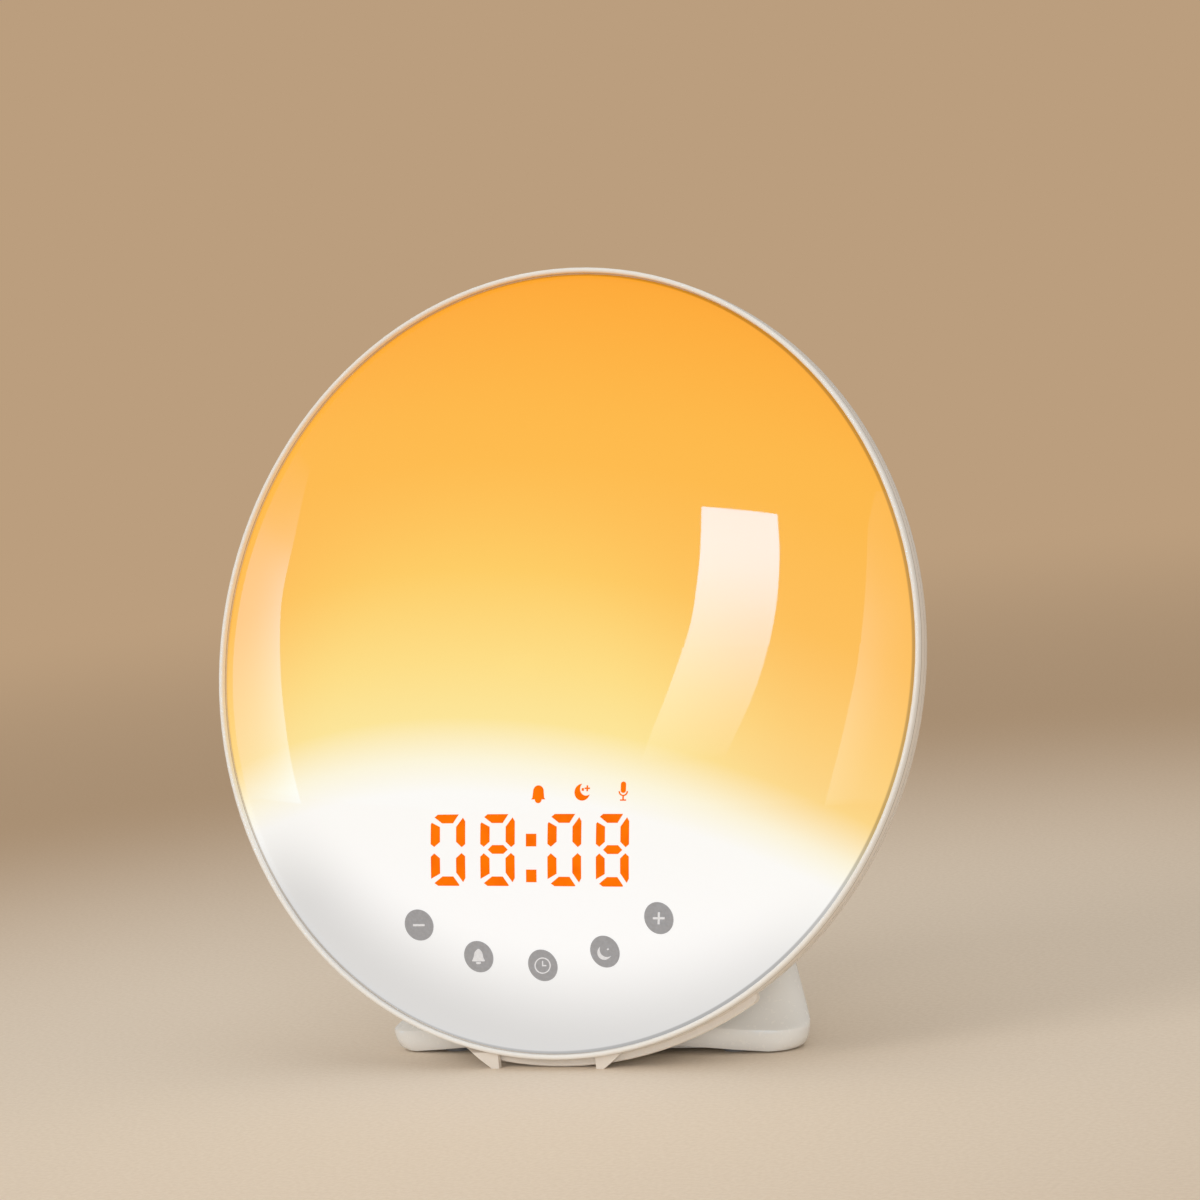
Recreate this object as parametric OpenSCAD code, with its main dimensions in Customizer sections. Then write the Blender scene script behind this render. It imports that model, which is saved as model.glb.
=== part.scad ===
// Sunrise alarm clock: a round, domed light face in a shallow bowl-shaped case that leans back
// on a flared stand. Millimetres, +Z up, the face looks towards -Y. The origin is on the table,
// under the middle of the clock's outer box.

/* [Case] */
// Outer radius of the round case
case_r = 90; // [89:0.5:92]
// How far the face leans back from upright, in degrees
lean = 12.8; // [11:0.1:15]
// Height of the rim's lowest point above the table, at the face plane
rim_lift = 2.1; // [1.8:0.1:3]
// Wall thickness of the moulded housings
wall = 2.2; // [2:0.1:2.5]
// Depth of the bowl behind the rim
bowl_depth = 29.5; // [28:0.5:31]
// Width of the rim band behind the face plane
band_w = 3.6; // [3.4:0.1:4]

/* [Face] */
// Height of the domed diffuser above its edge
dome_h = 17.4; // [16:0.1:18.5]
// Wall thickness of the diffuser
dome_wall = 2; // [1.6:0.1:2.2]
// Width of the raised bead round the diffuser
bead_w = 1.1; // [1:0.1:1.4]
// Height of that bead above the edge of the diffuser
bead_h = 1.7; // [1.2:0.1:2.2]

/* [Display] */
// Width of one digit
digit_w = 8.6; // [8:0.1:8.8]
// Height of one digit
digit_h = 15.9; // [15.5:0.1:17]
// Distance between the digits of a pair
digit_pitch = 12.4; // [11.8:0.05:12.6]
// Clear width between the two pairs
colon_gap = 8.3; // [7.8:0.05:9]
// Height of the digits' middle on the face, from its centre
digit_v = -43.5; // [-45:0.1:-42]
// Height of the row of icons on the face, from its centre
icon_v = -31.1; // [-32:0.1:-30]

/* [Touch keys] */
// Diameter of a printed touch key
mark_d = 7; // [6.5:0.1:7.4]

/* [Push keys] */
// Length of the snooze key on top
snooze_len = 40; // [36:1:41]
// Width of the snooze key, and diameter of the two round keys
key_w = 11; // [9.5:0.5:12]
// Angle from the top of the case to each round key
side_key_turn = 27; // [26:0.5:29]
// Travel of the three keys
key_travel = 1; // [0.6:0.1:1.2]

/* [Stand] */
// Half the width of the stand at the table
stand_half_w = 53; // [52:0.5:55]
// Reach of the stand behind the centre of the face
stand_back = 58; // [56:0.5:60]
// Reach of the stand's front edge before the centre of the face
stand_front = 7.5; // [6.5:0.5:9]
// Height of the stand's front edge at its ends
toe_h = 5.6; // [5:0.1:6.5]
// Extra height of that edge in the middle
toe_crown = 2.5; // [1:0.1:3]

/* [Speaker] */
// Diameter of the loudspeaker
speaker_d = 45; // [42:1:46]
// Diameter of a hole in the grille
grille_hole_d = 2.4; // [2:0.1:2.6]
// Number of rings of holes in the grille
grille_rings = 4; // [3:1:4]

/* [Power and battery] */
// Bore of the power inlet
jack_bore_d = 6; // [5.8:0.1:6.2]
// Diameter of the coin cell
cell_d = 20; // [20:0.1:20.2]
// Thickness of the coin cell
cell_h = 3.2; // [3.1:0.1:3.3]

/* [Hidden] */
$fn = 96;
eps = 0.01;

// Face-frame values: u to the right, v up the face, w out of the face, from the centre of the face.
dome_r = case_r - bead_w - 0.25;            // radius of the diffuser's visible edge
sphere_r = (dome_r * dome_r + dome_h * dome_h) / (2 * dome_h);
sphere_w = dome_h - sphere_r;               // centre of the diffuser's sphere
seam_w = -1.6;                              // parting line between bezel and rear housing
seam_gap = 0.3;
band_back = -band_w;
bowl_r = case_r - 2;
bowl_w = band_back - 0.8;                   // plane where the bowl starts
flat_w = bowl_w - bowl_depth + 1.5;         // flat back of the bowl
tray_w = -11.5;                             // front of the light tray
tray_h = 1.1;
tray_r = 70;
board_h = 1.6;
screw_ring = 76;                            // radius of the circle of the housing screws
screw_turns = [35, 145, 215, 325];
boss_end = tray_w;
well_floor = tray_w - tray_h - 2;

// The face in the clock's own frame
disc_z = rim_lift + case_r * cos(lean);
front_reach = sphere_r + sphere_w * cos(lean);
disc_y = (front_reach - stand_back) / 2;
module on_face() { translate([0, disc_y, disc_z]) rotate([90 - lean, 0, 0]) children(); }

function arc(cx, cy, r, from, to, steps) =
    [for (i = [0:steps]) let (a = from + (to - from) * i / steps) [cx + r * cos(a), cy + r * sin(a)]];
function reversed(list) = [for (i = [len(list) - 1:-1:0]) list[i]];
// Height of the diffuser's outer face at a distance r from the centre, less an inset
function dome_w(r, inset = 0) = sphere_w + sqrt((sphere_r - inset) * (sphere_r - inset) - r * r);

// ---- Diffuser ----

// Everything under the diffuser's outer face, grown or shrunk
module under_dome(grow) { translate([0, 0, sphere_w]) sphere(r = sphere_r + grow, $fn = 180); }

module ring(r_out, r_in, low, high) {
    translate([0, 0, low]) difference() {
        cylinder(r = r_out, h = high - low);
        translate([0, 0, -1]) cylinder(r = r_in, h = high - low + 2);
    }
}

module diffuser_dome() {
    color([1, 0.93, 0.78]) on_face() {
        difference() {
            intersection() {
                under_dome(0);
                translate([0, 0, -0.45]) cylinder(r = dome_r, h = dome_h + 2);
            }
            intersection() {
                under_dome(-dome_wall);
                translate([0, 0, -1]) cylinder(r = dome_r - dome_wall, h = dome_h + 2);
            }
            display_shapes(-1, dome_h + 2);
        }
        ring(dome_r - 1.5, dome_r - 3.6, -1.8, -0.45 + eps);
    }
}

// ---- Bezel ----

module front_bezel() {
    lip_r = case_r - bead_w;
    bead_r = bead_w / 2;
    profile = concat(
        [[case_r, seam_w + seam_gap]],
        arc(case_r - bead_r, bead_h - bead_r, bead_r, 0, 180, 12),
        [[lip_r, -0.5], [lip_r - 1.5, -0.5], [lip_r - 1.5, -1.85], [78, -1.85], [78, -3.2],
         [lip_r - 0.5, -3.2], [lip_r - 0.5, seam_w + seam_gap]]
    );
    color([0.97, 0.96, 0.93]) {
        on_face() difference() {
            union() {
                rotate_extrude($fn = 180) polygon(profile);
                for (a = screw_turns) rotate([0, 0, a]) translate([screw_ring, 0, boss_end])
                    cylinder(r = 3.6, h = -3.2 - boss_end + 1, $fn = 40);
            }
            for (a = screw_turns) rotate([0, 0, a]) translate([screw_ring, 0, boss_end - 1])
                cylinder(r = 1.4, h = 8, $fn = 24);
        }
        difference() {
            front_feet();
            on_face() translate([0, 0, -10]) cylinder(r = lip_r + 0.1, h = 20);
        }
    }
}
// Two feet under the bezel that the front of the clock stands on: upright inside, and outside
// sloped up into the rim
foot_u = 12.4;
foot_shift = -2.5;
foot_depth = 1.2;
module front_feet() {
    rim_y = disc_y - case_r * sin(lean);
    for (side = [0, 1]) translate([foot_shift, rim_y + 1.4, 0]) mirror([side, 0, 0]) rotate([90, 0, 0])
        linear_extrude(foot_depth) polygon([
            [foot_u, 0], [foot_u + 1.9, 0], [foot_u + 4.8, rim_lift], [foot_u + 8, rim_lift + 2.8],
            [foot_u, rim_lift + 1.4]
        ]);
}

// ---- Printed touch keys ----

mark_places = [[-31.2, -59.6], [-15.9, -66.9], [0.5, -69], [16.3, -66.1], [30, -58.9]];
mark_h = 0.15;

// A key widens a little to the left, where the dome turns away
module mark(i) {
    place = mark_places[i];
    widening = 1.05 - 0.0033 * place[0];
    outline = [for (p = arc(0, 0, mark_d / 2, 0, 354, 59)) [place[0] + widening * p[0], place[1] + p[1]]];
    color([0.63, 0.63, 0.64]) on_face() difference() {
        intersection() {
            under_dome(mark_h);
            linear_extrude(dome_h) polygon(outline);
        }
        under_dome(0);
    }
}
module mark_minus() { mark(0); }
module mark_alarm() { mark(1); }
module mark_clock() { mark(2); }
module mark_sleep() { mark(3); }
module mark_plus() { mark(4); }

// ---- Display ----

// Bars of a digit in a box of width 1 and height 1, from its top left corner
bars = [
    [[0.11, -0.04], [0.21, 0], [0.81, 0], [0.645, -0.124], [0.335, -0.124]],
    [[0.035, -0.114], [0.267, -0.175], [0.267, -0.384], [0.1, -0.4535], [0, -0.4145], [0.005, -0.135]],
    [[0.935, -0.047], [1, -0.1], [1, -0.4165], [0.9, -0.458], [0.74, -0.384], [0.74, -0.175]],
    [[0.1, -0.545], [0.262, -0.612], [0.262, -0.828], [0, -0.9], [0, -0.592]],
    [[0.893, -0.541], [0.995, -0.585], [0.995, -0.888], [0.93, -0.946], [0.735, -0.814], [0.735, -0.612]],
    [[0.335, -0.868], [0.645, -0.868], [0.82, -0.989], [0.797, -1], [0.203, -1], [0.093, -0.962]]
];
middle_bar = [
    [0.217, -0.495], [0.348, -0.43], [0.667, -0.43], [0.797, -0.495], [0.667, -0.552], [0.348, -0.552]
];

// Place across the display, spread a little to the left, where the dome turns away
function across(u) = 0.9 + u * (1 - 0.0022 * u);
module bar(u, points) {
    polygon([for (p = points) [across(u + (p[0] - 0.5) * digit_w), (p[1] + 0.5) * digit_h]]);
}
module digit(u, value) {
    for (points = bars) bar(u, points);
    if (value == 8) bar(u, middle_bar);
}
// The shapes stand a little askew on the face, with the slant of such digits
slant = 0.1;
tilt = -0.022;
module askew(place) {
    translate(place) multmatrix([[1, slant, 0, 0], [tilt, 1, 0, 0], [0, 0, 1, 0], [0, 0, 0, 1]]) children();
}
module time_shapes() {
    near = colon_gap / 2 + digit_w / 2;
    places = [[-near - digit_pitch, 0], [-near, 8], [near, 0], [near + digit_pitch, 8]];
    askew([0, digit_v]) {
        for (p = places) digit(p[0], p[1]);
        for (v = [2.2, -5.7]) translate([across(0), v]) square([2.6, 2.8], center = true);
    }
}

module bell_shape() {
    polygon(concat(
        arc(0, 0.5, 1.3, 0, 180, 14),
        [[-1.45, -0.9], [-1.75, -1.3]], arc(0, -1.3, 0.85, 180, 360, 8),
        [[1.75, -1.3], [1.45, -0.9]]
    ));
}
module moon_shape() {
    difference() {
        circle(d = 3.7, $fn = 40);
        translate([0.95, 0.75]) circle(d = 3, $fn = 40);
    }
    translate([1.2, 0.85]) { square([1.25, 0.34], center = true); square([0.34, 1.3], center = true); }
    translate([-0.12, 0.3]) square([0.5, 0.6]);
}
module microphone_shape() {
    for (v = [0.2, 1.5]) translate([0, v]) circle(d = 1.2, $fn = 24);
    translate([-0.6, 0.2]) square([1.2, 1.3]);
    difference() {
        circle(d = 2.2, $fn = 32);
        circle(d = 1.6, $fn = 32);
        translate([-2, 0]) square([4, 2]);
    }
    translate([-0.16, -2]) square([0.32, 1]);
    translate([-0.7, -2.1]) square([1.4, 0.3]);
}
module icon_shapes() {
    askew([3.8, icon_v]) bell_shape();
    askew([14.6, icon_v]) moon_shape();
    askew([24.4, icon_v]) microphone_shape();
}
module display_shapes(low, high) {
    translate([0, 0, low]) linear_extrude(high - low) { time_shapes(); icon_shapes(); }
}

guide_w = tray_w + board_h + 0.8;           // lower end of the light guides
guide_proud = 0.1;

module light_guides() {
    color([1, 0.46, 0]) on_face() intersection() {
        translate([0, 0, guide_w]) linear_extrude(dome_h - guide_w + 2) children();
        under_dome(guide_proud);
    }
}
module display_segments() { light_guides() time_shapes(); }
module display_icons() { light_guides() icon_shapes(); }

shroud_half_u = 28.5;
shroud_v = [-54, -26];

module display_shroud() {
    color([0.9, 0.9, 0.88]) on_face() difference() {
        intersection() {
            translate([-shroud_half_u, shroud_v[0], tray_w + board_h])
                cube([2 * shroud_half_u, shroud_v[1] - shroud_v[0], 40]);
            under_dome(-dome_wall - 0.2);
        }
        display_shapes(tray_w, dome_h + 2);
    }
}
module display_board() {
    color([0.1, 0.38, 0.2]) on_face() translate([-31, shroud_v[0] - 1.5, tray_w])
        cube([62, shroud_v[1] - shroud_v[0] + 3, board_h]);
}

// ---- Touch keys' board and springs ----

touch_w = -2.4;                             // front of the touch board

module touch_board() {
    color([0.1, 0.38, 0.2]) on_face() intersection() {
        ring(74.4, 61.3, touch_w - board_h, touch_w);
        translate([0, 0, -10]) linear_extrude(20)
            polygon([[0, 0], [-100, -130], [100, -130]]);
    }
}

// A coil of round wire, as one closed tube round the Z axis
module coil(radius, wire, height, turns) {
    steps = 11 * turns;
    sides = 6;
    lift = height - wire;
    points = [for (i = [0:steps]) let (a = 360 * turns * i / steps, z = wire / 2 + lift * i / steps)
        for (k = [0:sides - 1]) let (b = 360 * k / sides)
            concat((radius + wire / 2 * cos(b)) * [cos(a), sin(a)], z + wire / 2 * sin(b))];
    polyhedron(points, tube_faces(steps, sides));
}
function tube_faces(steps, sides) = concat(
    [[for (k = [sides - 1:-1:0]) k]],
    [for (i = [0:steps - 1]) for (k = [0:sides - 1])
        let (a = i * sides + k, b = i * sides + (k + 1) % sides) [a, b, b + sides, a + sides]],
    [[for (k = [0:sides - 1]) steps * sides + k]]
);

module touch_springs() {
    spring_r = 2.7;
    color([0.78, 0.78, 0.8]) on_face() for (p = mark_places) {
        far = norm(p) + spring_r + 0.6;
        translate([p[0], p[1], touch_w]) coil(spring_r, 0.6, dome_w(far, dome_wall) - touch_w - 0.1, 4);
    }
}

// ---- Light ----

module light_tray() {
    back_w = tray_w - tray_h;
    color([0.95, 0.95, 0.94]) on_face() {
        rotate_extrude() polygon([
            [0, back_w], [tray_r, back_w], [tray_r, touch_w - board_h], [tray_r - 1.2, touch_w - board_h],
            [tray_r - 1.2, tray_w], [0, tray_w]
        ]);
        for (a = screw_turns) rotate([0, 0, a]) difference() {
            translate([0, 0, back_w]) union() {
                translate([tray_r - 0.6, -3, 0]) cube([screw_ring - tray_r + 0.6, 6, tray_h]);
                translate([screw_ring, 0, 0]) cylinder(r = 4, h = tray_h, $fn = 40);
            }
            translate([screw_ring, 0, tray_w - 5]) cylinder(r = 1.6, h = 10, $fn = 24);
        }
        for (p = board_posts) translate([p[0], p[1], main_w + board_h])
            cylinder(r = 2.5, h = back_w - main_w - board_h + 0.4, $fn = 32);
    }
}
module light_board() {
    color([0.93, 0.94, 0.92]) on_face() difference() {
        translate([0, 0, tray_w]) cylinder(r = 67, h = board_h);
        translate([-34, -80, tray_w - 1]) cube([68, 58, board_h + 2]);
    }
}
module light_leds() {
    color([1, 0.9, 0.55]) on_face() {
        for (a = [-10:20:190]) led(58, a);
        for (a = [0:30:180]) led(30, a);
        led(0, 0);
    }
}
module led(r, a) {
    rotate([0, 0, a]) translate([r, 0, tray_w + board_h + 0.5]) cube([3.5, 2.8, 1], center = true);
}

// ---- Main board ----

main_w = -18;                               // back of the main board
board_posts = [[-31, -31], [31, -31], [-31, -53], [31, -53]];

module main_board() {
    color([0.1, 0.38, 0.2]) on_face() translate([-36, -58, main_w]) cube([72, 30, board_h]);
}
module main_board_parts() {
    color([0.12, 0.12, 0.13]) on_face() {
        translate([-8, -50, main_w - 1.6]) cube([14, 14, 1.6]);
        translate([-26, -48, main_w - 1.5]) cube([8, 6, 1.5]);
        translate([14, -44, main_w - 4]) cube([8, 6, 4]);
        translate([-30, -39, main_w - 4]) cube([6, 4.5, 4]);
        for (u = [17, 24]) translate([u, -52, main_w - 5.4]) cylinder(d = 5.5, h = 5.4, $fn = 32);
    }
}

// ---- Loudspeaker ----

speaker_w = flat_w + wall;                  // the case's inner flat, which the speaker stands on
frame_h = 1.4;

module speaker_frame() {
    r = speaker_d / 2;
    color([0.2, 0.2, 0.22]) on_face() translate([0, 0, speaker_w]) rotate_extrude($fn = 72)
        polygon([[r - 2.8, 0], [r, 0], [r, frame_h], [r - 2, frame_h + 0.6], [13, 9.6], [7.5, 9.6],
                 [7.5, 8.6], [12.4, 8.6], [r - 2.8, frame_h]]);
}
module speaker_magnet() {
    color([0.35, 0.35, 0.37]) on_face() translate([0, 0, speaker_w + 9.6]) {
        cylinder(r = 12, h = 6, $fn = 64);
    }
}
module speaker_cone() {
    r = speaker_d / 2 - 3.6;
    color([0.08, 0.08, 0.09]) on_face() translate([0, 0, speaker_w]) rotate_extrude($fn = 72)
        polygon([[0, 2.6], [6, 3.6], [r - 3, 1], [r - 1.5, 0.6], [r, 1], [r, 1.5], [r - 3, 2], [6.4, 7.6],
                 [5.6, 7.6], [5.6, 4.4], [0, 3.4]]);
}
module speaker_grille() {
    color([0.95, 0.94, 0.91]) on_face() difference() {
        translate([0, 0, flat_w - 0.3]) cylinder(r = 25, h = 1.3);
        for (k = [0:grille_rings]) for (i = [0:max(1, 6 * k) - 1])
            rotate([0, 0, i * 360 / max(1, 6 * k)]) translate([4.4 * k, 0, flat_w - 2])
                cylinder(d = grille_hole_d, h = 5, $fn = 24);
    }
}
module grille_cloth() {
    color([0.06, 0.06, 0.07]) on_face() translate([0, 0, flat_w + 1]) cylinder(r = 20.8, h = 0.4);
}

// ---- Rear housing ----

// Outer profile of the bowl from its rim to the axis, grown by a margin
function bowl_profile(grow) =
    let (r = bowl_r + grow, d = bowl_depth + grow, last = asin((bowl_w - flat_w + grow) / d))
    concat(
        [for (i = [0:14]) [r * cos(last * i / 14), bowl_w - d * sin(last * i / 14)]],
        [[0, flat_w - grow]]
    );

// The bowl as a solid of revolution up to a plane, grown by a margin
module bowl(grow, top = 5) {
    rotate_extrude($fn = 180) polygon(concat([[0, top], [bowl_r + grow, top]], bowl_profile(grow)));
}

module housing_shell() {
    tongue_r = case_r - 1.5;
    profile = concat(
        [[tongue_r, seam_w], [tongue_r, -3.3], [bowl_r - wall, -3.3]],
        bowl_profile(-wall), reversed(bowl_profile(0)),
        [[case_r - 0.9, band_back], [case_r - 0.25, band_back + 0.25], [case_r, band_back + 0.9],
         [case_r, seam_w]]
    );
    rotate_extrude($fn = 180) polygon(profile);
}

lip_proud = 1.5;
lip_turns = [-99.5, -58];                   // where the rib under the rim starts and ends

// A raised rib under the rim, from the left foot to the right of the right one
module rim_lip() {
    low = band_back + 0.15;
    difference() {
        union() {
            for (a = lip_turns) rotate([0, 0, a]) translate([case_r - 0.2, 0, low + 0.05])
                cylinder(r = lip_proud, h = 1.5, $fn = 24);
            rotate([0, 0, lip_turns[0]]) rotate_extrude(angle = lip_turns[1] - lip_turns[0], $fn = 180)
                polygon([[case_r - 1, low], [case_r + lip_proud - 0.7, low], [case_r + lip_proud, low + 0.9],
                         [case_r + lip_proud, low + 1.3], [case_r + lip_proud - 0.2, low + 1.6],
                         [case_r - 1, low + 1.6]]);
        }
        translate([0, 0, -10]) cylinder(r = case_r - 0.8, h = 20, $fn = 180);
    }
}
// Push keys: each slides along the normal of the bowl where it stands
key_angle = 20;
key_r = bowl_r * cos(key_angle);
key_depth = bowl_w - bowl_depth * sin(key_angle);
key_tilt = atan2(sin(key_angle) / bowl_depth, cos(key_angle) / bowl_r);
key_proud = 0.8;
key_gap = 0.3;
flange = 1;
module at_key(turn) {
    rotate([0, 0, turn]) translate([0, key_r, key_depth]) rotate([-90 - key_tilt, 0, 0]) children();
}
// Outline of a key: two round ends and what lies between them
module key_outline(length, grow) {
    reach = (length - key_w) / 2;
    for (s = reach > 0 ? [-1, 1] : [0]) translate([s * reach, 0]) circle(d = key_w + 2 * grow, $fn = 48);
    if (reach > 0) square([2 * reach, key_w + 2 * grow], center = true);
}
module key_bar(turn, length, grow, low = -12, high = 12) {
    at_key(turn) translate([0, 0, low]) linear_extrude(high - low) key_outline(length, grow);
}
module push_key(turn, length) {
    color([0.97, 0.96, 0.94]) on_face() {
        difference() {
            intersection() { bowl(key_proud); key_bar(turn, length, 0); }
            bowl(-wall - 1.5, 6);
        }
        difference() {
            intersection() { bowl(-wall - 0.25, 4); key_bar(turn, length, flange); }
            bowl(-wall - 1.5, 6);
        }
        at_key(turn) translate([0, 0, -switch_top]) cylinder(r = 1.6, h = switch_top - 3, $fn = 32);
    }
}
module snooze_key() { push_key(0, snooze_len); }
module light_key() { push_key(side_key_turn, key_w); }
module radio_key() { push_key(-side_key_turn, key_w); }

switch_top = 6.6;                           // depth of the switches' plungers under the bowl's surface
switch_h = 2.4;
board_depth = switch_top + key_travel + 0.6 + switch_h;  // the key boards' upper faces
key_list = [[0, snooze_len], [side_key_turn, key_w], [-side_key_turn, key_w]];
function board_half(length) = length / 2 + 4.3;

module key_boards() {
    color([0.1, 0.38, 0.2]) on_face() for (k = key_list) at_key(k[0])
        translate([-board_half(k[1]), -3, -board_depth - board_h])
            cube([2 * board_half(k[1]), 7, board_h]);
}
module key_switches() {
    color([0.15, 0.15, 0.16]) on_face() for (k = key_list) at_key(k[0]) {
        translate([-3, -3, -board_depth]) cube([6, 6, switch_h]);
        translate([0, 0, -board_depth + switch_h - 0.2]) cylinder(r = 1.6, h = 0.7, $fn = 32);
    }
}

stand_screw_places = [[-20, -60], [20, -60]];
// Height of the flat seats under the heads of the stand's screws
seat_w = bowl_w - (bowl_depth - wall)
    * sqrt(1 - pow((norm(stand_screw_places[0]) + 3.6) / (bowl_r - wall), 2));
lead_hole = [0, -66];
power_hole_r = 4;

module rear_housing() {
    color([0.97, 0.96, 0.93]) on_face() {
        difference() {
            union() {
                housing_shell();
                rim_lip();
                for (a = screw_turns) rotate([0, 0, a]) intersection() {
                    translate([screw_ring, 0, -30])
                        cylinder(r = 5, h = 30 + tray_w - tray_h - eps, $fn = 48);
                    bowl(-0.5);
                }
                for (p = stand_screw_places) intersection() {
                    translate([p[0], p[1], -40]) cylinder(r = 3.4, h = 40 + seat_w, $fn = 32);
                    bowl(-0.5);
                }
                for (k = key_list) key_posts(k[0], board_half(k[1]) - 1.5);
            }
            for (a = screw_turns) rotate([0, 0, a]) translate([screw_ring, 0, 0]) {
                translate([0, 0, -40]) cylinder(r = 3.5, h = 40 + well_floor, $fn = 48);
                translate([0, 0, -40]) cylinder(r = 1.6, h = 40, $fn = 24);
            }
            for (k = key_list) key_bar(k[0], k[1], key_gap, -6, 8);
            translate([0, 0, flat_w - 1]) cylinder(r = 25.15, h = 2);
            translate([0, 0, flat_w - 1]) cylinder(r = 21, h = 6);
            for (p = stand_screw_places) translate([p[0], p[1], -40]) cylinder(r = 1.6, h = 38, $fn = 24);
            translate([lead_hole[0], lead_hole[1], -40]) cylinder(r = power_hole_r, h = 38, $fn = 32);
        }
    }
}
module key_posts(turn, reach) {
    intersection() {
        at_key(turn) for (s = [-1, 1]) translate([s * reach - 1.25, -1.5, -board_depth]) cube([2.5, 3, 12]);
        bowl(-0.5);
    }
}
module housing_screws() {
    color([0.75, 0.76, 0.78]) on_face() for (a = screw_turns) rotate([0, 0, a])
        translate([screw_ring, 0, well_floor]) screw(2.7, 1.35, 9);
}
// A pan-head screw that points along +Z, with its head under the origin and a cross recess in it
module screw(head_r, shank_r, length) {
    difference() {
        translate([0, 0, -1.8]) cylinder(r = head_r, h = 1.8, $fn = 32);
        for (a = [0, 90]) rotate([0, 0, a])
            translate([-head_r * 0.6, -0.35, -2]) cube([head_r * 1.2, 0.7, 1]);
    }
    translate([0, 0, -eps]) cylinder(r = shank_r, h = length, $fn = 24);
}

// ---- Stand ----

// Levels of the stand: height, half width, front and back, measured from under the face's centre.
// The first is the inner edge of the skirt.
stand_levels = [
    [0.4, stand_half_w - 5.2, -stand_front + 3.8, stand_back - 4.6],
    [0.4, stand_half_w - 2.4, -stand_front + 0.8, stand_back - 1.6],
    [1.3, stand_half_w - 1.2, -stand_front + 0.2, stand_back - 0.7],
    [2.8, stand_half_w - 0.4, -stand_front, stand_back - 0.2],
    [toe_h - 1, stand_half_w, -stand_front, stand_back],
    [toe_h - 0.4, stand_half_w, -stand_front + 0.2, stand_back - 0.1],
    [toe_h, stand_half_w - 0.2, -stand_front + 0.8, stand_back - 0.2],
    [toe_h + 0.4, stand_half_w - 0.5, -stand_front + 1.6, stand_back - 0.3],
    [toe_h + 1.2, stand_half_w - 1.3, -stand_front + 3, stand_back - 0.5],
    [9, stand_half_w - 2.9, -1.7, stand_back - 1.2],
    [12.5, stand_half_w - 5, 1.5, stand_back - 2.8],
    [17, stand_half_w - 7.2, 4.4, stand_back - 5.4],
    [23, stand_half_w - 10.8, 6.4, stand_back - 9.4],
    [31, stand_half_w - 16.5, 7.8, stand_back - 15],
    [40, stand_half_w - 22.5, 8.2, stand_back - 21.5],
    [49, stand_half_w - 28.5, 7, stand_back - 28],
    [57, stand_half_w - 33.5, 5, stand_back - 34]
];
front_arc_r = 400;
back_r = 32;
corner_max_r = 6;

// Outline of the stand at one level: a nearly straight front, two tight corners, sides that close
// in behind, and a round back. Points go round it by the direction that they face.
function stand_outline(half_w, front, back) =
    let (
        corner_r = min(corner_max_r, half_w / 4),
        turn = asin((half_w - corner_r) / (front_arc_r - corner_r)),
        corner = [half_w - corner_r, front + front_arc_r - (front_arc_r - corner_r) * cos(turn)],
        end_r = min(back_r, half_w * 0.92, back - corner[1] - 1),
        end_y = back - end_r,
        reach = norm([corner[0], end_y - corner[1]]),
        side = atan2(end_y - corner[1], -corner[0]) - acos((corner_r - end_r) / reach),
        front_arc = [for (i = [0:5]) let (a = -90 + turn * i / 6)
            [front_arc_r * cos(a), front + front_arc_r + front_arc_r * sin(a)]],
        side_from = corner + corner_r * [cos(side), sin(side)],
        side_to = [end_r * cos(side), end_y + end_r * sin(side)],
        right = concat(
            front_arc,
            arc(corner[0], corner[1], corner_r, -90 + turn, side, 7),
            [for (t = [0.34, 0.67]) side_from + t * (side_to - side_from)],
            arc(0, end_y, end_r, side, 90, 8)
        )
    )
    concat(right, [for (i = [len(right) - 2:-1:1]) [-right[i][0], right[i][1]]]);

// How much the arched front edge lifts a point of the stand
function crown(x, y, z) =
    toe_crown * max(0, 1 - pow(x / 43, 2)) * max(0, 1 - max(0, z - toe_h) / 18)
        * max(0, min(1, 1.2 - (y + stand_front) / 30));

// The stand as a loft through its levels from a height upwards, shrunk by an inset
module stand_loft(inset, from) {
    levels = [for (l = stand_levels) if (l[0] >= from) l];
    rings = [for (l = levels) stand_outline(l[1] - inset, l[2] + inset, l[3] - inset)];
    count = len(rings[0]);
    // an inner loft starts flat, under the base plate's upper face
    points = [for (j = [0:len(levels) - 1]) for (p = rings[j])
        [p[0], p[1] + disc_y, j == 0 && from > 0 ? from
            : levels[j][0] + crown(p[0], p[1], levels[j][0]) - (from > 0 ? 0.4 * inset : 0)]];
    faces = concat(
        [[for (k = [0:count - 1]) k]],
        [for (j = [0:len(levels) - 2]) for (k = [0:count - 1])
            let (a = j * count + k, b = j * count + (k + 1) % count) [a, a + count, b + count, b]],
        [[for (k = [count - 1:-1:0]) (len(levels) - 1) * count + k]]
    );
    polyhedron(points, faces);
}

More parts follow.
